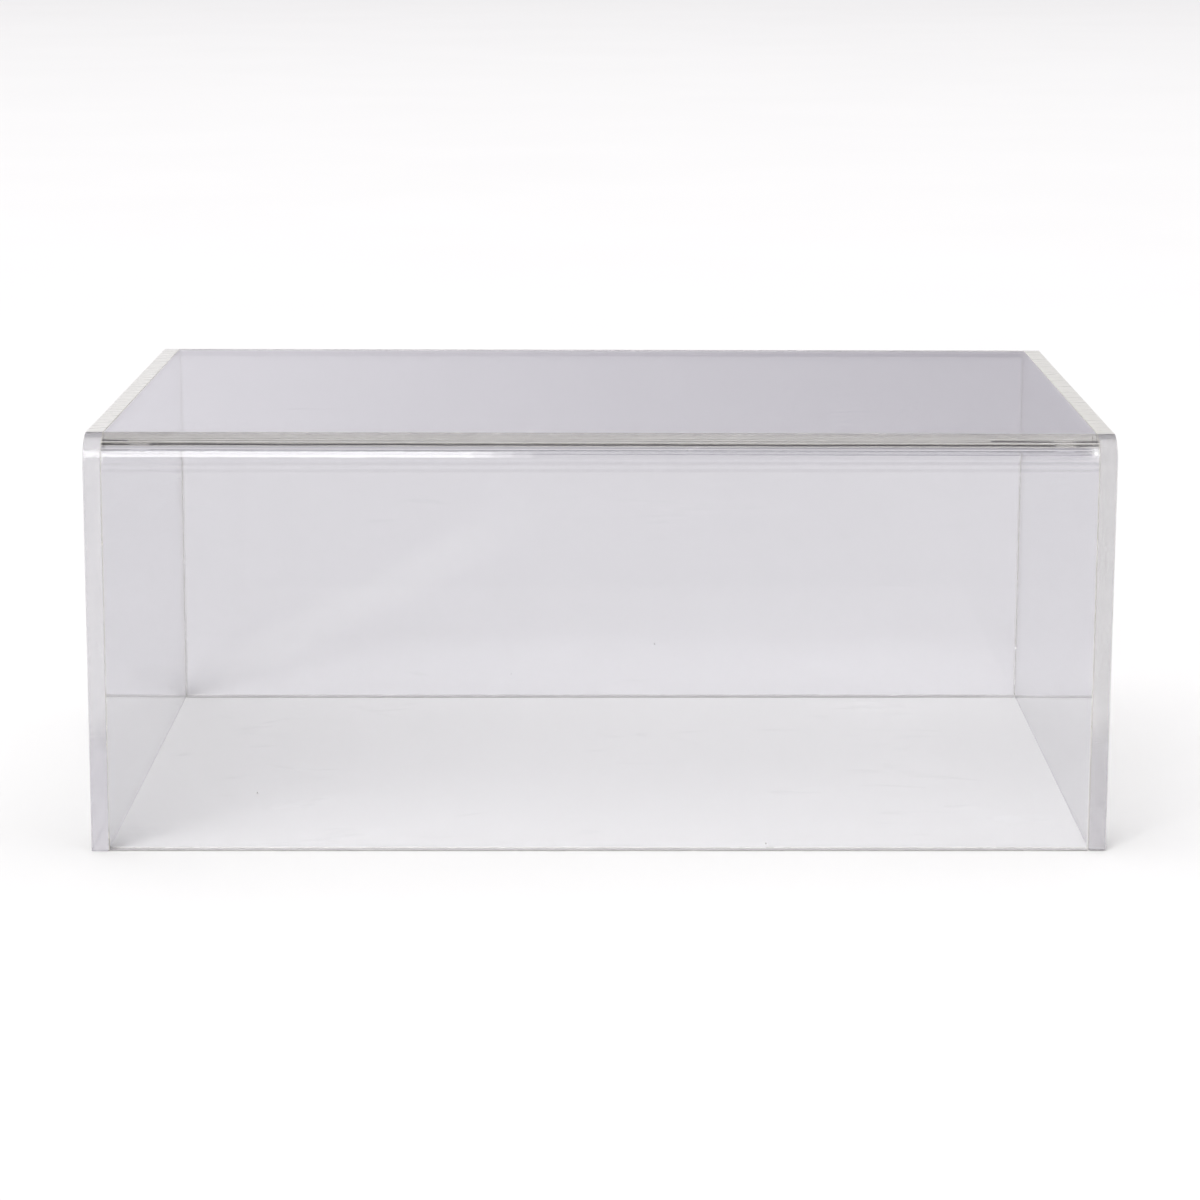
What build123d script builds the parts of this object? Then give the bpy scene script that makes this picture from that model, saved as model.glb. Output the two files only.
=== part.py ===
from build123d import *
import os

# Clear acrylic display cover: a low oblong box, open underneath, that is set down over an exhibit.
# One heat-bent sheet makes the front, the top and the back. A flat panel is cemented over each of its ends.
#
# Frame: millimetres, +Z up, +X to the right and -Y towards the visitor.
# The origin is the middle of the footprint, on the surface that the rim rests on.

# Driving dimensions
width = 368.0  # overall, from the outside of one end panel to the outside of the other
depth = 257.0  # overall, from the front face to the back face
front_height = 152.4  # from the rim to the top face, at the front
top_fall = 2.0  # how much lower the top face is at the back than at the front
sheet = 6.35  # thickness of all three sheets
inside_bend = 4.15  # radius on the inside of both heat-bent edges
cement = 0.2  # thickness of each cement joint
left_panel_gap = 0.0  # how far the left end panel's lower edge stops short of the rim
right_panel_gap = 0.5  # the same on the right, where the panel was cut a little short

# Worked out from them
outside_bend = inside_bend + sheet
panel_inner_x = width / 2 - sheet
wrap_end_x = panel_inner_x - cement


def outline_points(inset, gap):
    """The end view's four corners, inset from the front, top and back, with the lower edge at gap."""
    front = -depth / 2 + inset
    back = depth / 2 - inset
    fall_per_mm = top_fall / depth
    front_top = front_height - inset - fall_per_mm * inset
    back_top = front_top - fall_per_mm * (back - front)
    return (front, gap), (back, gap), (back, back_top), (front, front_top)


def panel_outline(plane, gap):
    """An end panel's face, with its two upper corners rounded like the bends."""
    with BuildSketch(plane) as outline:
        Polygon(*outline_points(0, gap), align=None)
        fillet(outline.vertices().sort_by(Axis.Y)[-2:], outside_bend)
    return outline.sketch


def bent_section(plane, gap):
    """The bent sheet's cross-section: a front leg, a top and a back leg of one thickness."""
    with BuildSketch(plane) as section:
        Polygon(*outline_points(0, gap), align=None)
        Polygon(*outline_points(sheet, gap), align=None, mode=Mode.SUBTRACT)
        fillet(section.vertices().sort_by(Axis.Y)[-4:-2], inside_bend)
        fillet(section.vertices().sort_by(Axis.Y)[-2:], outside_bend)
    return section.sketch


os.makedirs("parts", exist_ok=True)

# The bent sheet: front, top and back in one piece
with BuildPart() as wrap_sheet:
    extrude(bent_section(Plane.YZ, 0), amount=wrap_end_x, both=True)
wrap_sheet.part.label = "wrap_sheet"
export_step(wrap_sheet.part, "parts/wrap_sheet.step")

# The flat panels that close the two ends
with BuildPart() as left_end_panel:
    extrude(panel_outline(Plane.YZ.offset(-panel_inner_x), left_panel_gap), amount=-sheet)
left_end_panel.part.label = "left_end_panel"
export_step(left_end_panel.part, "parts/left_end_panel.step")

with BuildPart() as right_end_panel:
    extrude(panel_outline(Plane.YZ.offset(panel_inner_x), right_panel_gap), amount=sheet)
right_end_panel.part.label = "right_end_panel"
export_step(right_end_panel.part, "parts/right_end_panel.step")

# The cement, a thin layer that follows the bent sheet's end all the way round
with BuildPart() as left_cement_joint:
    extrude(bent_section(Plane.YZ.offset(-panel_inner_x), left_panel_gap), amount=cement)
left_cement_joint.part.label = "left_cement_joint"
export_step(left_cement_joint.part, "parts/left_cement_joint.step")

with BuildPart() as right_cement_joint:
    extrude(bent_section(Plane.YZ.offset(panel_inner_x), right_panel_gap), amount=-cement)
right_cement_joint.part.label = "right_cement_joint"
export_step(right_cement_joint.part, "parts/right_cement_joint.step")
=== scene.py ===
import math

import bmesh
import bpy
import numpy as np
from mathutils import Matrix, Vector, noise


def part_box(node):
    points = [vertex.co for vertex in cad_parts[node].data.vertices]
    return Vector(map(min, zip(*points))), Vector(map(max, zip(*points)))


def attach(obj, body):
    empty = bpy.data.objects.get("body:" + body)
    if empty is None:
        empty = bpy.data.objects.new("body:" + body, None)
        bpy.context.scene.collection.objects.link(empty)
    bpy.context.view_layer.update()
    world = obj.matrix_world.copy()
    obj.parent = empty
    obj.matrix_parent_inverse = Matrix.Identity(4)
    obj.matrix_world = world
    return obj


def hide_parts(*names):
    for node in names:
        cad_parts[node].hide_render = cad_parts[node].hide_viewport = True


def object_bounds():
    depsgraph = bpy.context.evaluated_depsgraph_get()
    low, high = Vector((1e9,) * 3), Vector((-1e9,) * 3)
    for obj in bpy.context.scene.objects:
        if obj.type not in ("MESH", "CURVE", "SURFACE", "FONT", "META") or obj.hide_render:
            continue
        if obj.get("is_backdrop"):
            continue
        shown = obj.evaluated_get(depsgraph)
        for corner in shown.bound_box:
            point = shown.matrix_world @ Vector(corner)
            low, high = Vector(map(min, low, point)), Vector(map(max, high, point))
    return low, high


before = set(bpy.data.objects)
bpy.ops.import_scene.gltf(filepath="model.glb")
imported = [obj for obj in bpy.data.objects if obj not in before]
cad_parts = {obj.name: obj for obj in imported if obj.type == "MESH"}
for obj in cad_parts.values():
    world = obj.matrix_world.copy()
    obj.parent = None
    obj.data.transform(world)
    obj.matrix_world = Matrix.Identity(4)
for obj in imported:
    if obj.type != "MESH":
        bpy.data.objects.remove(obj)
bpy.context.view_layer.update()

# Clear acrylic display cover on a pale table, in metres, in the CAD frame.
# A bent sheet makes the front, the top and the back, and a flat panel is cemented over each end.

MM = 0.001

# Sizes read from the frame
wrap_low, wrap_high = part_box("wrap_sheet")
left_low, left_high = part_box("left_end_panel")
right_low, right_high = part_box("right_end_panel")
FRONT = wrap_low.y
BACK = wrap_high.y
SHEET = left_high.x - left_low.x

# Sizes that the frame's boxes don't show
FRONT_SAG = 0.4 * MM  # how far the hand-bent front corner came out low
TOP_FALL = 2.0 * MM - FRONT_SAG  # how much lower the top is at the back than at the front
INSIDE_BEND = 4.15 * MM
OUTSIDE_BEND = INSIDE_BEND + SHEET
FALL_SLOPE = TOP_FALL / (BACK - FRONT)
FRONT_TOP = wrap_high.z + FALL_SLOPE * OUTSIDE_BEND - FRONT_SAG

# What hand work left: the box leans a little and its top isn't level
LEAN = 0.00461  # to the right, per metre of height
TILT = 0.00244  # down at the right, per metre of width, at the top
EDGE_ROUND = 0.25 * MM  # the scraped corner along every sawn edge
FOOT_LIFT = 0.1 * MM  # how far the bent sheet's feet were cut short, before their saw marks
SAW_INSET = 0.06 * MM  # the same for the end panels, all round
TOOTH_SIZE = 1.3 * MM
COARSE_SIZE = 4.7 * MM
TOOTH_RELIEF = 0.008 * MM
CUT_SIZE = 38 * MM  # length of the saw's slow wander
CUT_RELIEF = 0.05 * MM

# How finely the meshes are divided
HOLD = 0.4 * MM  # from a flat's end to its last row of points, which keeps the flat flat
FLAT_STEP = 12 * MM  # up, over and down the bent sheet's flats
BENT_STEPS = 80  # round each of its bends
WRAP_STATIONS = 200  # along its length
SAW_STEP = 0.8 * MM  # along an end panel's edge
CEMENT_STEP = 1.0 * MM
CORNER_STEPS = 28  # round each upper corner of an end panel and its cement
WRAP_ACROSS = 4  # steps across the thickness, between the rounded corners
PANEL_ACROSS = 7

# The cement's rows, as (distance in from the outside in mm, thickness next to the joint's own)
CEMENT_ROWS = (0.0, 1.4), (0.25, 1.4), (0.8, 0.9), (3.2, 0.9), (5.6, 0.9), (SHEET / MM, 0.9)
BEAD_ROWS = 2  # how many of them are the bead that squeezed out
BEAD_SIZE = 9 * MM
BEAD_SWELL = 0.9

# A sheet's materials, in the order of its slots. The bent sheet has only the first two.
POLISHED, SAWN, SCRAPED = range(3)

# The acrylic's colours
ACRYLIC_IOR = 1.49
CLEAR_TINT = (0.822, 0.818, 0.839)
CLEAR_TINT_2 = (0.814, 0.810, 0.831)
BODY_DENSITY = 1.0
BODY_COLOUR = (0.34, 0.30, 0.16)
HAZE = 0.018  # greatest roughness of a polished face
LAMP_SHARE = 0.94  # how much of a lamp's light each face lets through
# The white of the scuffs, the smear, the bruise and the painted glint
SCUFF_AND_GLINT_WHITE = (0.88, 0.88, 0.87)
SCUFF_SHARE = 0.05
DUST_GREY = (0.42, 0.40, 0.38)
DUST_SPACING = 25 * MM
DUST_RADIUS = 0.35 * MM

# Painted shade: the dark line along the front bend and a second one near each end, placed back from the
# front face. They are black on the inner skin and stand for the dark seen through the bend
SHADE_LINE_BLACK = (0.05, 0.045, 0.055)
CORNER_LINE = 10.8 * MM
CORNER_LINE_HALF = 0.7 * MM
CORNER_LINE_DEPTH = 0.93
CORNER_LINE_SWAY = 1.2 * MM
SECOND_LINE = 13.3 * MM
SECOND_LINE_HALF = 0.4 * MM
SECOND_LINE_LEFT = 9.0 * MM  # how far in from the left end it reaches
SECOND_LINE_RIGHT = 37.0 * MM
LINE_GAP_LEFT = 13.5 * MM  # from the left end to the middle of a faded stretch
LINE_GAP_RIGHT = 10.5 * MM
LINE_GAP_HALF = 4.5 * MM
LINE_GAP_DEPTH = 0.8

# Painted shade: two faint darker lines across the front, placed down from its top
FAINT_SHADE_TINT = (0.70, 0.69, 0.715)
UPPER_LINE = 9.7 * MM
UPPER_LINE_HALF = 0.7 * MM
LOWER_LINE = 12.1 * MM
LOWER_LINE_HALF = 0.8 * MM
FAINT_AT_LEFT = 0.6  # their strength at the left, where 1 is that at the middle and the right
FAINT_FROM = -0.20  # x where they start to strengthen

# A wipe mark, a bruise and a painted highlight (a glint) in the front, as (x, z), worked out from the bent
# sheet's ends and its top
SMEAR_START = Vector((wrap_low.x + 50.45 * MM, FRONT_TOP - 81.98 * MM))
SMEAR_END = Vector((wrap_low.x + 141.45 * MM, FRONT_TOP - 33.98 * MM))
SMEAR_HALF = 10 * MM
SMEAR_SHARE = 0.05
# The right spot is a painted highlight: a white glint at the top of the right joint
RIGHT_GLINT = Vector((wrap_high.x - 0.45 * MM, FRONT_TOP - 6.18 * MM))
RIGHT_GLINT_REACH = 4.6 * MM
LEFT_BRUISE = Vector((wrap_low.x + 0.65 * MM, FRONT_TOP - 7.98 * MM))
LEFT_BRUISE_REACH = 2.0 * MM

# The table and the studio, in metres
TABLE_PALE = (0.80, 0.80, 0.785)
TABLE_PALER = (0.81, 0.81, 0.795)
TABLE_HALF = 12.0
TABLE_DROP = 0.03 * MM  # keeps the table's face clear of the rim
KEY_AWAY = 32.0
KEY_UP = 22.6
KEY_WIDTH = 26.0
KEY_HEIGHT = 16.0
KEY_RIGHT_EDGE = -1.45
KEY_RADIANCE = 9.2
KEY_FADE_WIDTH = 0.22  # of each strip beside the key lamp
KEY_FADE = 6.5, 4.0, 1.8  # their radiances, away from it
FILL_UP = 14.0
FILL_SIZE = 16.0
FILL_RADIANCE = 1.03

# The sky. Heights are the upward part of a direction: 0 is level and 1 is straight up.
SKY_LEFT = (0.80, 0.78, 0.83)
SKY_MIDDLE = (0.59, 0.57, 0.62)
SKY_RIGHT = (0.45, 0.43, 0.475)
SKY_SPREAD = 0.15  # how far to each side of the middle the side colours are reached
SKY_DIP = 0.78
DIP_HEIGHTS = 0.15, 0.4
SKY_GLOW = (0.95, 0.93, 0.96)
GLOW_UP = 0.26
GLOW_HALF = 0.075
SKY_TOP = (0.85, 0.84, 0.86)
TOP_HEIGHTS = 0.72, 0.9

# The camera, fitted to the outline of the box in the photograph
EYE = Vector((4.451, -1417.93, 353.685)) * MM
YAW, PITCH, ROLL = (math.radians(degrees) for degrees in (-0.16878, 11.42953, -0.04302))
SENSOR = 36.0
LENS = 110.267

# Light caught inside a sheet turns back many times before it leaves
CAUGHT_BOUNCES = 192
OPEN_BOUNCES = 64
CLAMP = 6.0


# ---------------------------------------------------------------- shapes

def rounded_corner(before, corner, after, radius, steps):
    """Points along the arc that rounds a corner, from one tangent point to the other."""
    before, corner, after = Vector(before), Vector(corner), Vector(after)
    to_before = (before - corner).normalized()
    to_after = (after - corner).normalized()
    half = to_before.angle(to_after) / 2
    centre = corner + (to_before + to_after).normalized() * radius / math.sin(half)
    start = corner + to_before * radius / math.tan(half) - centre
    turn = start.angle_signed(corner + to_after * radius / math.tan(half) - centre)
    return [centre + Matrix.Rotation(-turn * i / steps, 2) @ start for i in range(steps + 1)]


def between(start, end, spacing):
    """Points strictly between two, evenly spaced, with one close to each end to hold a flat face flat."""
    start, end = Vector(start), Vector(end)
    length = (end - start).length
    count = max(int(length / spacing), 2)
    hold = HOLD / length
    shares = [hold] + [i / count for i in range(1, count)] + [1 - hold]
    return [start.lerp(end, s) for s in shares]


def bent_path(inset, foot, spacing, bend_steps):
    """The end view of one skin, from the front foot over the top to the back foot, as (y, z) rows."""
    front, back = FRONT + inset, BACK - inset
    front_top = FRONT_TOP - inset - FALL_SLOPE * inset
    back_top = front_top - FALL_SLOPE * (back - front)
    radius = OUTSIDE_BEND - inset
    feet = (front, foot), (back, foot)
    tops = (front, front_top), (back, back_top)
    front_bend = rounded_corner(feet[0], tops[0], tops[1], radius, bend_steps)
    back_bend = rounded_corner(tops[0], tops[1], feet[1], radius, bend_steps)
    path = [Vector(feet[0]), *between(feet[0], front_bend[0], spacing), *front_bend]
    path += [*between(front_bend[-1], back_bend[0], spacing), *back_bend]
    path += [*between(back_bend[-1], feet[1], spacing), Vector(feet[1])]
    return np.array([tuple(p) for p in path])


def matched_paths(foot, spacing, bend_steps):
    """The paths of a sheet's outer and inner skins, point for point."""
    outer = bent_path(0.0, foot, spacing, bend_steps)
    inner = bent_path(SHEET, foot, spacing, bend_steps)
    if len(inner) != len(outer):
        raise ValueError("the two paths have different numbers of points")
    return outer, inner


def lengths_along(path):
    """How far along a path each of its points is."""
    return np.concatenate([[0.0], np.cumsum(np.linalg.norm(np.diff(path, axis=0), axis=1))])


def settled(points):
    """Points moved as the hand-made box leans and tilts."""
    moved = np.array(points, float)
    share = np.clip(moved[..., 2] / FRONT_TOP, 0, 1)
    lean = LEAN * moved[..., 2]
    moved[..., 2] -= TILT * moved[..., 0] * share
    moved[..., 0] += lean
    return moved


def wander(along, across, size, seed):
    """Smooth noise from -1 to 1 along an edge, for lengths in metres."""
    return noise.noise(Vector((along / size, across / size, seed)))


def saw_marks(along, across, seed, strength=1.0):
    """How far a sawn edge stands in or out: tooth marks across it and a slow wander of the cut."""
    teeth = wander(along + 0.15 * across, 0.0, TOOTH_SIZE, seed)
    coarse = wander(along - 0.1 * across, 0.2 * across, COARSE_SIZE, seed + 3)
    slow = wander(along, across, CUT_SIZE, seed + 7)
    return strength * TOOTH_RELIEF * (teeth + coarse) + CUT_RELIEF * slow


def quads(index):
    """The corner numbers of every cell in a sheet of point numbers."""
    corners = index[:-1, :-1], index[1:, :-1], index[1:, 1:], index[:-1, 1:]
    return np.stack(corners, -1).reshape(-1, 4)


def mesh_piece(name, points, faces, paint, materials):
    """A closed mesh with smooth flats and bends and crisp edges. paint is one material number a face."""
    used = sorted({int(v) for face in faces for v in face})
    place = {v: i for i, v in enumerate(used)}
    mesh = bpy.data.meshes.new(name)
    mesh.from_pydata(
        [tuple(points[v]) for v in used],
        [],
        [tuple(place[int(v)] for v in face) for face in faces],
    )
    for material in materials:
        mesh.materials.append(material)
    mesh.polygons.foreach_set("material_index", np.array(paint, np.int32))
    build = bmesh.new()
    build.from_mesh(mesh)
    bmesh.ops.recalc_face_normals(build, faces=build.faces)
    build.to_mesh(mesh)
    build.free()
    mesh.shade_smooth()
    mesh.set_sharp_from_angle(angle=math.radians(15))
    piece = bpy.data.objects.new(name, mesh)
    bpy.context.scene.collection.objects.link(piece)
    return piece


def edge_stations(middle_steps):
    """(distance across a sheet, how far in) from one face to the other, with both corners rounded."""
    corner = [(0.0, EDGE_ROUND), (0.3 * EDGE_ROUND, 0.3 * EDGE_ROUND), (EDGE_ROUND, 0.0)]
    step = (SHEET - 2 * EDGE_ROUND) / middle_steps
    middle = [(EDGE_ROUND + step * i, 0.0) for i in range(1, middle_steps)]
    return corner + middle + [(SHEET - a, b) for a, b in reversed(corner)]


# ---------------------------------------------------------------- the bent sheet

def wrap_piece(materials):
    """The bent sheet. Its two feet are sawn, and the rest of it is polished."""
    outer, inner = matched_paths(0.0, FLAT_STEP, BENT_STEPS)
    across = edge_stations(WRAP_ACROSS)
    x = np.linspace(wrap_low.x, wrap_high.x, WRAP_STATIONS)
    grid = np.zeros((len(x), len(outer), len(across), 3))
    grid[..., 0] = x[:, None, None]
    for k, (depth, inward) in enumerate(across):
        row = outer + (inner - outer) * depth / SHEET
        for end in (0, -1):
            row[end, 1] = inward
        grid[:, :, k, 1] = row[:, 0]
        grid[:, :, k, 2] = row[:, 1]
        for i, at in enumerate(x):
            grid[i, 0, k, 2] += FOOT_LIFT + saw_marks(at, depth, 11)
            grid[i, -1, k, 2] += FOOT_LIFT + saw_marks(at, depth, 29)
    index = np.arange(grid[..., 0].size).reshape(grid.shape[:3])
    sides = [
        (index[:, :, 0], POLISHED),
        (index[:, :, -1], POLISHED),
        (index[:, 0, :], SAWN),
        (index[:, -1, :], SAWN),
        (index[0], POLISHED),
        (index[-1], POLISHED),
    ]
    faces, paint = [], []
    for side, number in sides:
        cells = quads(side)
        faces += list(cells)
        paint += [number] * len(cells)
    points = settled(grid.reshape(-1, 3))
    return mesh_piece("wrap_sheet_clear", points, faces, paint, materials)


# ---------------------------------------------------------------- the end panels

def end_panel_piece(name, low, high, side, materials, seed, saw_strength):
    """A flat end panel: its top is sawn, its front, back and corners are scraped, its bottom is polished.

    side is -1 at the left and 1 at the right.
    """
    foot = low.z
    outer, inner = matched_paths(foot, SAW_STEP, CORNER_STEPS)
    count = len(outer)
    back_y, front_y = inner[-1, 0], inner[0, 0]
    steps = int((back_y - front_y) / SAW_STEP)
    bottom = [(back_y + (front_y - back_y) * i / steps, foot) for i in range(steps + 1)]
    loop = np.concatenate([outer, np.array(bottom)])
    ahead, behind = np.roll(loop, -1, 0), np.roll(loop, 1, 0)
    along = ahead - behind
    outward = np.stack([-along[:, 1], along[:, 0]], -1)
    outward /= np.linalg.norm(outward, axis=1)[:, None]
    length = lengths_along(loop)
    face_x = high.x if side < 0 else low.x  # the inner face, which meets the bent sheet
    stations = edge_stations(PANEL_ACROSS)
    points, rings = [], []
    for depth, inward in stations:
        ring = []
        for k, (y, z) in enumerate(loop):
            out = saw_marks(length[k], depth, seed, saw_strength) - SAW_INSET - inward
            ring.append(len(points))
            points.append((face_x + side * depth, y + outward[k][0] * out, z + outward[k][1] * out))
        rings.append(ring)
    rings = np.array(rings)
    closed = np.concatenate([rings, rings[:, :1]], 1)
    faces = list(quads(closed))
    flat_top = FRONT + OUTSIDE_BEND, BACK - OUTSIDE_BEND
    on_top = (loop[:, 1] > FRONT_TOP / 2) & (loop[:, 0] > flat_top[0]) & (loop[:, 0] < flat_top[1])
    around = [SAWN if on_top[k] else SCRAPED if k < count else POLISHED for k in range(len(loop))]
    paint = around * (len(stations) - 1)
    for ring, depth in ((rings[0], 0.0), (rings[-1], SHEET)):
        inside = [ring[-1]]
        for y, z in inner[1:-1]:
            inside.append(len(points))
            points.append((face_x + side * depth, y, z))
        inside.append(ring[count])
        for j in range(count - 1):
            faces.append((ring[j], ring[j + 1], inside[j + 1], inside[j]))
            paint.append(POLISHED)
        faces.append(tuple(inside) + tuple(ring[count + 1:-1]))
        paint.append(POLISHED)
    return mesh_piece(name, settled(points), faces, paint, materials)


# ---------------------------------------------------------------- the cement

def cement_piece(name, low, high, material, seed):
    """The film of cement between an end panel and the bent sheet, with the bead that squeezed out of it."""
    outer, inner = matched_paths(low.z, CEMENT_STEP, CORNER_STEPS)
    length = lengths_along(outer)
    middle = (low.x + high.x) / 2
    half = (high.x - low.x) / 2
    grid = np.zeros((2, len(outer), len(CEMENT_ROWS), 3))
    for k, (depth, spread) in enumerate(CEMENT_ROWS):
        share = depth * MM / SHEET
        for j in range(len(outer)):
            thick = half * spread
            if k < BEAD_ROWS:
                thick *= 1.0 + BEAD_SWELL * abs(wander(length[j], 0.0, BEAD_SIZE, seed + k))
            y, z = outer[j] + (inner[j] - outer[j]) * min(share, 1.0)
            grid[0, j, k] = (middle - thick, y, z)
            grid[1, j, k] = (middle + thick, y, z)
    index = np.arange(grid[..., 0].size).reshape(grid.shape[:3])
    faces = []
    for sheet in (index[0], index[1], index[:, 0], index[:, -1], index[:, :, 0], index[:, :, -1]):
        faces += list(quads(sheet))
    points = settled(grid.reshape(-1, 3))
    return mesh_piece(name, points, faces, [0] * len(faces), [material])


# ---------------------------------------------------------------- nodes

def grey(value):
    """A grey colour."""
    return (value, value, value)


def new_material(name):
    """An empty node material, its tree and its output."""
    material = bpy.data.materials.new(name)
    material.use_nodes = True
    material.node_tree.nodes.clear()
    output = material.node_tree.nodes.new("ShaderNodeOutputMaterial")
    return material, material.node_tree, output


def node(tree, kind, **inputs):
    """A node with its plain inputs set by name, underscores for spaces."""
    made = tree.nodes.new(kind)
    for name, value in inputs.items():
        made.inputs[name.replace("_", " ")].default_value = value
    return made


def noise_node(tree, scale, detail=2.0, stretch=(1, 1, 1)):
    """Noise in the piece's own metres, stretched along an axis."""
    place = tree.nodes.new("ShaderNodeTexCoord")
    mapping = node(tree, "ShaderNodeMapping", Scale=stretch)
    made = node(tree, "ShaderNodeTexNoise", Scale=scale, Detail=detail)
    tree.links.new(place.outputs["Object"], mapping.inputs["Vector"])
    tree.links.new(mapping.outputs["Vector"], made.inputs["Vector"])
    return made


def place_in_piece(tree):
    """A point's x, y and z in the piece's own metres."""
    place = tree.nodes.new("ShaderNodeTexCoord")
    way = tree.nodes.new("ShaderNodeSeparateXYZ")
    tree.links.new(place.outputs["Object"], way.inputs[0])
    return way.outputs


def ramp(tree, source, stops):
    """A colour ramp on a value, with (place, colour) stops."""
    made = tree.nodes.new("ShaderNodeValToRGB")
    elements = made.color_ramp.elements
    while len(elements) < len(stops):
        elements.new(0.5)
    for element, (place, colour) in zip(elements, stops):
        element.position = place
        element.color = (*colour, 1.0)
    tree.links.new(source, made.inputs["Fac"])
    return made.outputs["Color"]


def math_node(tree, operation, a, b=0.0, clamp=False):
    """One sum on sockets or numbers."""
    made = tree.nodes.new("ShaderNodeMath")
    made.operation = operation
    made.use_clamp = clamp
    for socket, value in zip(made.inputs, (a, b)):
        if isinstance(value, (int, float)):
            socket.default_value = value
        else:
            tree.links.new(value, socket)
    return made.outputs[0]


def mixed_colour(tree, under, over, share, blend="MIX"):
    """One colour mixed with another. Each value is a socket or a plain one."""
    made = tree.nodes.new("ShaderNodeMix")
    made.data_type = "RGBA"
    made.blend_type = blend
    for name, value in (("Factor", share), ("A", under), ("B", over)):
        if isinstance(value, float):
            made.inputs[name].default_value = value
        elif isinstance(value, tuple):
            made.inputs[name].default_value = (*value, 1.0)
        else:
            tree.links.new(value, made.inputs[name])
    return made.outputs["Result"]


def covered(tree, under, over, share):
    """One shader partly covered by another."""
    join = tree.nodes.new("ShaderNodeMixShader")
    tree.links.new(share, join.inputs[0])
    tree.links.new(under, join.inputs[1])
    tree.links.new(over, join.inputs[2])
    return join.outputs[0]


def band(tree, value, centre, half):
    """1 near the centre of a band and 0 outside it, with soft sides."""
    off = math_node(tree, "ABSOLUTE", math_node(tree, "SUBTRACT", value, centre))
    return math_node(tree, "SUBTRACT", 2.0, math_node(tree, "MULTIPLY", off, 2.0 / half), clamp=True)


def both(tree, a, b):
    """The product of two shares."""
    return math_node(tree, "MULTIPLY", a, b)


def on_front(tree, y):
    """1 on the front face's outer skin and 0 behind it."""
    return math_node(tree, "LESS_THAN", y, FRONT + SHEET / 2)


# ---------------------------------------------------------------- marks on the acrylic, with painted shade and a painted highlight

def corner_shade_lines(tree):
    """How much painted shade darkens the inner skin along the front corner: a thin black line, and a second
    one near the ends.
    """
    x, y, z = place_in_piece(tree)
    sway = noise_node(tree, 22.0, 3.0, stretch=(1.0, 0.0, 0.0))
    bent = both(tree, math_node(tree, "SUBTRACT", sway.outputs["Fac"], 0.5), CORNER_LINE_SWAY)
    wavy = math_node(tree, "ADD", y, bent)
    under = math_node(tree, "LESS_THAN", z, FRONT_TOP - SHEET / 2)
    main = band(tree, wavy, FRONT + CORNER_LINE, CORNER_LINE_HALF)
    second = band(tree, wavy, FRONT + SECOND_LINE, SECOND_LINE_HALF)
    left_end = math_node(tree, "LESS_THAN", x, wrap_low.x + SECOND_LINE_LEFT)
    right_end = math_node(tree, "GREATER_THAN", x, wrap_high.x - SECOND_LINE_RIGHT)
    second = both(tree, second, math_node(tree, "ADD", left_end, right_end, clamp=True))
    share = math_node(tree, "MAXIMUM", main, second)
    left_gap = band(tree, x, wrap_low.x + LINE_GAP_LEFT, LINE_GAP_HALF)
    right_gap = band(tree, x, wrap_high.x - LINE_GAP_RIGHT, LINE_GAP_HALF)
    gaps = both(tree, math_node(tree, "MAXIMUM", left_gap, right_gap), LINE_GAP_DEPTH)
    share = both(tree, share, math_node(tree, "SUBTRACT", 1.0, gaps))
    return both(tree, both(tree, share, under), CORNER_LINE_DEPTH)


def front_shade_lines(tree):
    """How much painted shade darkens the outer skin's tint in two faint lines across the front, weaker at
    the left.
    """
    x, y, z = place_in_piece(tree)
    upper = band(tree, z, FRONT_TOP - UPPER_LINE, UPPER_LINE_HALF)
    lower = band(tree, z, FRONT_TOP - LOWER_LINE, LOWER_LINE_HALF)
    stops = [(0.5 + FAINT_FROM, grey(FAINT_AT_LEFT)), (0.5, grey(1.0))]
    strength = ramp(tree, math_node(tree, "ADD", x, 0.5), stops)
    share = both(tree, math_node(tree, "MAXIMUM", upper, lower), on_front(tree, y))
    return both(tree, share, strength)


def smear(tree, x, z):
    """A broad soft wipe mark that climbs across the left half of the front."""
    start, end = SMEAR_START, SMEAR_END
    slope = (end.y - start.y) / (end.x - start.x)
    line = math_node(tree, "ADD", math_node(tree, "MULTIPLY", x, slope), start.y - slope * start.x)
    beside = band(tree, math_node(tree, "SUBTRACT", z, line), 0.0, SMEAR_HALF)
    along = band(tree, x, (start.x + end.x) / 2, (end.x - start.x) * 0.75)
    return both(tree, both(tree, beside, along), SMEAR_SHARE)


def hairs(tree):
    """Fine wavy wipe marks and scuffs that run mostly across the box."""
    fine = noise_node(tree, 160.0, 6.0, stretch=(0.12, 1.0, 1.0))
    fine.inputs["Distortion"].default_value = 1.6
    return ramp(tree, fine.outputs["Fac"], [(0.64, grey(0.0)), (0.74, grey(SCUFF_SHARE))])


def dust(tree):
    """A few specks of dust and bubbles."""
    place = tree.nodes.new("ShaderNodeTexCoord")
    cells = node(tree, "ShaderNodeTexVoronoi", Scale=1.0 / DUST_SPACING)
    tree.links.new(place.outputs["Object"], cells.inputs["Vector"])
    edge = DUST_RADIUS / DUST_SPACING
    return ramp(tree, cells.outputs["Distance"], [(edge * 0.7, grey(0.75)), (edge, grey(0.0))])


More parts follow.
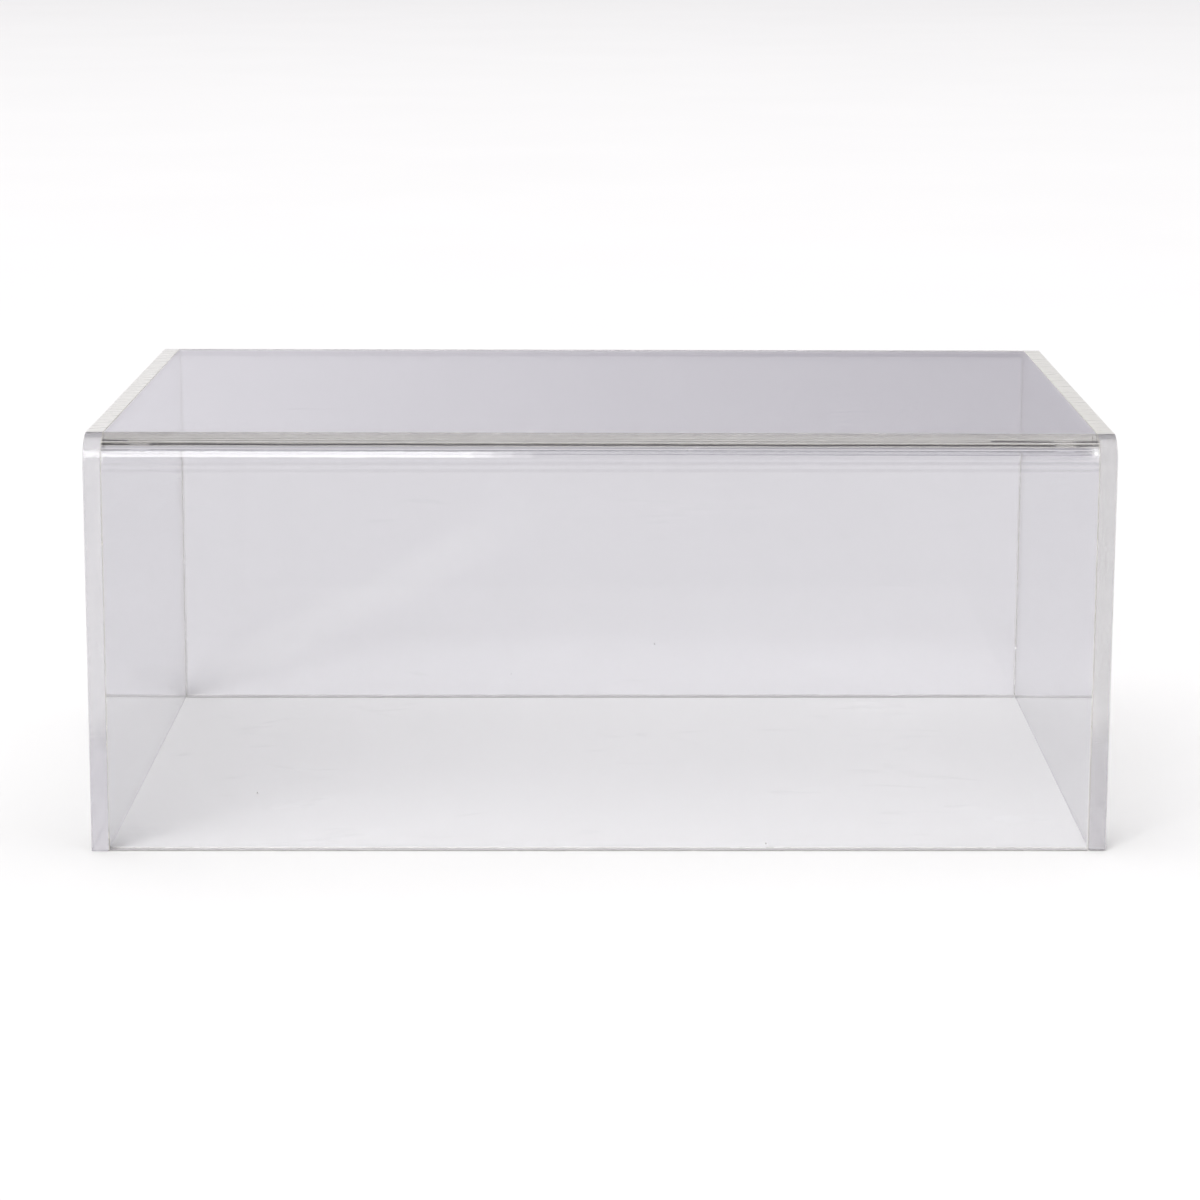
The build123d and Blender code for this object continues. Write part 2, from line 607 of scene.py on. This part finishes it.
def bruise_and_glint(tree, x, z, centre, reach):
    """A small white ragged spot in the front, solid in the middle and thin round it. It draws the bruised
    chip at the left and a painted highlight, the glint, at the right.
    """
    aside = math_node(tree, "SUBTRACT", x, centre.x)
    above = math_node(tree, "SUBTRACT", z, centre.y)
    squares = math_node(tree, "ADD", both(tree, aside, aside), both(tree, above, above))
    away = both(tree, math_node(tree, "SQRT", squares), 1.0 / reach)
    ragged = both(tree, noise_node(tree, 1500.0, 3.0).outputs["Fac"], 2.0)
    stops = [(0.03, grey(0.9)), (0.15, grey(0.45)), (0.4, grey(0.15)), (1.0, grey(0.0))]
    return ramp(tree, both(tree, away, ragged), stops)


def marks_and_painted_light(tree, surface, white):
    """The bent sheet's surface with its smear, its bruised chip, a painted highlight at the right and its
    painted-shade dark lines.
    """
    x, y, z = place_in_piece(tree)
    surface = covered(tree, surface, white, both(tree, smear(tree, x, z), on_front(tree, y)))
    # The left spot is a bruised chip; the right one is a painted highlight
    for centre, reach in ((RIGHT_GLINT, RIGHT_GLINT_REACH), (LEFT_BRUISE, LEFT_BRUISE_REACH)):
        mark = both(tree, bruise_and_glint(tree, x, z, centre, reach), on_front(tree, y))
        surface = covered(tree, surface, white, mark)
    # Painted shade: black along the corner lines, where the bend shows only dark
    black = node(tree, "ShaderNodeBsdfDiffuse", Color=(*SHADE_LINE_BLACK, 1.0))
    return covered(tree, surface, black.outputs[0], corner_shade_lines(tree))


# ---------------------------------------------------------------- materials

def lit_through(tree, shader, output):
    """Lets lamps shine through: a ray from a lamp meets a plain tint in place of the acrylic."""
    path = tree.nodes.new("ShaderNodeLightPath")
    open_side = node(tree, "ShaderNodeBsdfTransparent", Color=(*grey(LAMP_SHARE), 1.0))
    surface = covered(tree, shader, open_side.outputs[0], path.outputs["Is Shadow Ray"])
    tree.links.new(surface, output.inputs["Surface"])


def inside_colour(tree, output):
    """The sheet's own colour, which shows only along its length."""
    volume = node(tree, "ShaderNodeVolumeAbsorption", Density=BODY_DENSITY)
    volume.inputs["Color"].default_value = (*BODY_COLOUR, 1.0)
    tree.links.new(volume.outputs[0], output.inputs["Volume"])


def polished_acrylic(name, lined):
    """Glossy faces, faintly lavender, with a trace of haze. lined adds the bent sheet's own marks, its
    painted shade lines and its painted highlight.
    """
    material, tree, output = new_material(name)
    shader = node(tree, "ShaderNodeBsdfPrincipled", Transmission_Weight=1.0, IOR=ACRYLIC_IOR)
    cloud = noise_node(tree, 9.0)
    tint = ramp(tree, cloud.outputs["Fac"], [(0.3, CLEAR_TINT), (0.7, CLEAR_TINT_2)])
    if lined:
        # Painted shade: the two faint lines darken the front's tint
        tint = mixed_colour(tree, tint, FAINT_SHADE_TINT, front_shade_lines(tree))
    haze = noise_node(tree, 60.0, 4.0)
    rough = ramp(tree, haze.outputs["Fac"], [(0.5, grey(0.0)), (0.8, grey(HAZE))])
    tree.links.new(tint, shader.inputs["Base Color"])
    tree.links.new(rough, shader.inputs["Roughness"])
    white = node(tree, "ShaderNodeBsdfDiffuse", Color=(*SCUFF_AND_GLINT_WHITE, 1.0))
    specks = node(tree, "ShaderNodeBsdfDiffuse", Color=(*DUST_GREY, 1.0))
    surface = covered(tree, shader.outputs[0], white.outputs[0], hairs(tree))
    surface = covered(tree, surface, specks.outputs[0], dust(tree))
    if lined:
        surface = marks_and_painted_light(tree, surface, white.outputs[0])
    lit_through(tree, surface, output)
    inside_colour(tree, output)
    return material


def edge_acrylic(name, white, rough, tints, chalky, opaque):
    """A cut edge: partly clear and partly whitened, with tooth marks that run across it.

    white and rough are the least and greatest share of whitening and roughness of the clear part.
    opaque is the share of the white part that turns light back, where the rest lets it through.
    """
    material, tree, output = new_material(name)
    clear = node(tree, "ShaderNodeBsdfPrincipled", IOR=ACRYLIC_IOR, Transmission_Weight=1.0)
    patches = noise_node(tree, 130.0, 3.0)
    tint = ramp(tree, patches.outputs["Fac"], [(0.35, tints[0]), (0.65, tints[1])])
    teeth = noise_node(tree, 650.0, 4.0, stretch=(0.12, 1.0, 1.0))
    roughness = ramp(tree, teeth.outputs["Fac"], [(0.3, grey(rough[0])), (0.7, grey(rough[1]))])
    grit = noise_node(tree, 2500.0, 2.0, stretch=(0.3, 1.0, 1.0))
    bump = node(tree, "ShaderNodeBump", Strength=0.3, Distance=0.2 * MM)
    tree.links.new(grit.outputs["Fac"], bump.inputs["Height"])
    tree.links.new(bump.outputs["Normal"], clear.inputs["Normal"])
    tree.links.new(tint, clear.inputs["Base Color"])
    tree.links.new(roughness, clear.inputs["Roughness"])
    chalk_colour = ramp(tree, patches.outputs["Fac"], [(0.3, chalky[0]), (0.7, chalky[1])])
    back_light = tree.nodes.new("ShaderNodeBsdfTranslucent")
    front_light = tree.nodes.new("ShaderNodeBsdfDiffuse")
    chalk = node(tree, "ShaderNodeMixShader", Fac=opaque)
    tree.links.new(chalk_colour, back_light.inputs["Color"])
    tree.links.new(chalk_colour, front_light.inputs["Color"])
    tree.links.new(back_light.outputs[0], chalk.inputs[1])
    tree.links.new(front_light.outputs[0], chalk.inputs[2])
    share = ramp(tree, teeth.outputs["Fac"], [(0.3, grey(white[0])), (0.7, grey(white[1]))])
    surface = covered(tree, clear.outputs[0], chalk.outputs[0], share)
    lit_through(tree, surface, output)
    inside_colour(tree, output)
    return material


def left_edges():
    """The left panel's edges: the top is whitened by the saw; the front, back and corners are scraped."""
    chalky = (0.89, 0.885, 0.845), (0.91, 0.905, 0.87)
    tints = (0.92, 0.91, 0.89), (0.95, 0.94, 0.92)
    sawn = edge_acrylic("left_sawn", (0.66, 0.75), (0.2, 0.35), tints, chalky, opaque=0.85)
    chalky = (0.90, 0.90, 0.93), (0.94, 0.94, 0.97)
    tints = (0.85, 0.85, 0.91), (0.89, 0.89, 0.95)
    scraped = edge_acrylic("left_scraped", (0.02, 0.12), (0.01, 0.07), tints, chalky, opaque=0.5)
    return sawn, scraped


def right_edges():
    """The right panel's edges: darker and a little yellower than the left panel's, with fainter saw marks.
    """
    chalky = (0.835, 0.83, 0.78), (0.85, 0.845, 0.80)
    tints = (0.89, 0.88, 0.85), (0.91, 0.90, 0.87)
    sawn = edge_acrylic("right_sawn", (0.69, 0.72), (0.25, 0.35), tints, chalky, opaque=0.85)
    chalky = (0.86, 0.86, 0.87), (0.90, 0.90, 0.91)
    tints = (0.78, 0.78, 0.82), (0.82, 0.82, 0.86)
    scraped = edge_acrylic("right_scraped", (0.02, 0.12), (0.01, 0.09), tints, chalky, opaque=0.5)
    return sawn, scraped


def sawn_feet():
    """The bent sheet's feet, sawn and left greyer and clearer than the panels' tops."""
    chalky = (0.74, 0.73, 0.70), (0.80, 0.79, 0.76)
    tints = (0.88, 0.87, 0.86), (0.93, 0.92, 0.91)
    return edge_acrylic("sawn_feet", (0.40, 0.62), (0.12, 0.32), tints, chalky, opaque=0.75)


def cement_material():
    """Old solvent cement: yellowish, cloudy in places with clear stretches, and paler towards the back."""
    material, tree, output = new_material("aged_cement")
    body = node(tree, "ShaderNodeBsdfPrincipled", Roughness=0.35, IOR=1.46)
    patches = noise_node(tree, 240.0, 4.0)
    stops = [(0.3, (0.34, 0.33, 0.26)), (0.5, (0.52, 0.50, 0.42)), (0.64, (0.90, 0.90, 0.87))]
    aged = ramp(tree, patches.outputs["Fac"], stops)
    towards_back = math_node(tree, "ADD", place_in_piece(tree)["Y"], 0.5)
    backward = ramp(tree, towards_back, [(0.5 + FRONT / 2, grey(0.0)), (0.5, grey(1.0))])
    colour = mixed_colour(tree, aged, (0.93, 0.93, 0.91), backward)
    tree.links.new(colour, body.inputs["Base Color"])
    clear = node(tree, "ShaderNodeBsdfTransparent", Color=(0.985, 0.98, 0.955, 1.0))
    cloud = noise_node(tree, 420.0, 3.0)
    share = ramp(tree, cloud.outputs["Fac"], [(0.42, grey(0.08)), (0.62, grey(0.22)), (0.70, grey(0.9))])
    tree.links.new(covered(tree, clear.outputs[0], body.outputs[0], share), output.inputs["Surface"])
    return material


def table_material():
    """A matt pale table top with the faintest mottle."""
    material, tree, output = new_material("pale_table")
    shader = node(tree, "ShaderNodeBsdfPrincipled", Roughness=0.9, Specular_IOR_Level=0.0)
    mottle = noise_node(tree, 3.0, 2.0)
    colour = ramp(tree, mottle.outputs["Fac"], [(0.3, TABLE_PALE), (0.7, TABLE_PALER)])
    tree.links.new(colour, shader.inputs["Base Color"])
    tree.links.new(shader.outputs[0], output.inputs["Surface"])
    return material


# ---------------------------------------------------------------- the studio

def table():
    """A large pale table top, just under the rim."""
    half = TABLE_HALF
    mesh = bpy.data.meshes.new("table")
    corners = [(-half, -half, 0.0), (half, -half, 0.0), (half, half, 0.0), (-half, half, 0.0)]
    mesh.from_pydata(corners, [], [(0, 1, 2, 3)])
    mesh.materials.append(table_material())
    plane = bpy.data.objects.new("table", mesh)
    plane.location.z = -TABLE_DROP
    bpy.context.scene.collection.objects.link(plane)
    plane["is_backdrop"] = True


def softbox(name, centre, aim, width, height, radiance, mirrored=True):
    """A rectangular soft lamp that faces a point. radiance is how bright its face is."""
    light = bpy.data.lights.new(name, "AREA")
    light.shape = "RECTANGLE"
    light.size = width
    light.size_y = height
    light.energy = radiance * math.pi * width * height
    lamp = bpy.data.objects.new(name, light)
    lamp.visible_transmission = False
    lamp.visible_glossy = mirrored
    lamp.location = centre
    lamp.rotation_mode = "QUATERNION"
    lamp.rotation_quaternion = (Vector(aim) - Vector(centre)).to_track_quat("-Z", "Y")
    bpy.context.scene.collection.objects.link(lamp)


def key_strip(name, x, width, radiance):
    """One upright part of the key lamp, which stands in front of the box at the left."""
    softbox(name, (x, -KEY_AWAY, KEY_UP), (x, 0.0, FRONT_TOP), width, KEY_HEIGHT, radiance)


def lamps():
    """The key lamp with its fading right edge, and a fill lamp overhead that isn't mirrored."""
    key_strip("key", KEY_RIGHT_EDGE - KEY_WIDTH / 2, KEY_WIDTH, KEY_RADIANCE)
    for step, radiance in enumerate(KEY_FADE):
        x = KEY_RIGHT_EDGE + (step + 0.5) * KEY_FADE_WIDTH
        key_strip(f"key_edge_{step + 1}", x, KEY_FADE_WIDTH, radiance)
    overhead = (0.0, 0.01, FILL_UP)
    softbox("fill", overhead, (0.0, 0.0, 0.0), FILL_SIZE, FILL_SIZE, FILL_RADIANCE, mirrored=False)


def studio_sky():
    """Soft light from all round: brighter at the left than at the right, with a glow band low down."""
    world = bpy.data.worlds.new("studio")
    world.use_nodes = True
    bpy.context.scene.world = world
    tree = world.node_tree
    tree.nodes.clear()
    output = tree.nodes.new("ShaderNodeOutputWorld")
    place = tree.nodes.new("ShaderNodeTexCoord")
    way = tree.nodes.new("ShaderNodeSeparateXYZ")
    tree.links.new(place.outputs["Generated"], way.inputs[0])
    up = way.outputs["Z"]
    sideways = math_node(tree, "ADD", way.outputs["X"], 0.5)
    stops = [(0.5 - SKY_SPREAD, SKY_LEFT), (0.5, SKY_MIDDLE), (0.5 + SKY_SPREAD, SKY_RIGHT)]
    low = ramp(tree, sideways, stops)
    dip = ramp(tree, up, [(DIP_HEIGHTS[0], grey(1.0)), (DIP_HEIGHTS[1], grey(SKY_DIP))])
    colour = mixed_colour(tree, low, dip, 1.0, blend="MULTIPLY")
    colour = mixed_colour(tree, colour, SKY_GLOW, band(tree, up, GLOW_UP, GLOW_HALF))
    climb = ramp(tree, up, [(TOP_HEIGHTS[0], grey(0.0)), (TOP_HEIGHTS[1], grey(1.0))])
    colour = mixed_colour(tree, colour, SKY_TOP, climb)
    light = tree.nodes.new("ShaderNodeBackground")
    tree.links.new(colour, light.inputs["Color"])
    tree.links.new(light.outputs[0], output.inputs["Surface"])


def camera():
    """The photograph's view: in front, a little to the right of the middle, looking down at the box."""
    forward = Vector((math.sin(YAW) * math.cos(PITCH), math.cos(YAW) * math.cos(PITCH), -math.sin(PITCH)))
    level = Vector((math.cos(YAW), -math.sin(YAW), 0.0))
    upright = level.cross(forward)
    right = math.cos(ROLL) * level + math.sin(ROLL) * upright
    up = math.cos(ROLL) * upright - math.sin(ROLL) * level
    eye = bpy.data.objects.new("camera", bpy.data.cameras.new("camera"))
    eye.data.sensor_width = SENSOR
    eye.data.lens = LENS
    eye.data.clip_start = 0.05
    eye.data.clip_end = 60.0
    turn = Matrix((right, up, -forward)).transposed().to_4x4()
    eye.matrix_world = Matrix.Translation(EYE) @ turn
    bpy.context.scene.collection.objects.link(eye)
    bpy.context.scene.camera = eye


def light_paths():
    """Enough bounces for light caught inside the sheets, and plain tones."""
    scene = bpy.context.scene
    scene.cycles.max_bounces = CAUGHT_BOUNCES
    scene.cycles.transmission_bounces = CAUGHT_BOUNCES
    scene.cycles.glossy_bounces = CAUGHT_BOUNCES
    scene.cycles.transparent_max_bounces = OPEN_BOUNCES
    scene.cycles.sample_clamp_indirect = CLAMP
    scene.view_settings.view_transform = "Standard"


# ---------------------------------------------------------------- putting it together

cement = cement_material()
edges = {"left": left_edges(), "right": right_edges()}
bent_materials = [polished_acrylic("bent_acrylic", lined=True), sawn_feet()]
flat_faces = polished_acrylic("panel_acrylic", lined=False)

wrap = wrap_piece(bent_materials)
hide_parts("wrap_sheet")
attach(wrap, "root")

# Word, box, side, noise seed and strength of the saw marks
ends = (
    ("left", left_low, left_high, -1, 41, 0.6),
    ("right", right_low, right_high, 1, 67, 0.15),
)
for word, low, high, side, seed, strength in ends:
    materials = [flat_faces, *edges[word]]
    panel = end_panel_piece(f"{word}_end_panel_clear", low, high, side, materials, seed, strength)
    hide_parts(f"{word}_end_panel")
    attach(panel, "root")
    joint_low, joint_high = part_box(f"{word}_cement_joint")
    joint = cement_piece(f"{word}_cement_aged", joint_low, joint_high, cement, seed + 5)
    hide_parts(f"{word}_cement_joint")
    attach(joint, "root")

table()
studio_sky()
lamps()
camera()
light_paths()

low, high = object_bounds()
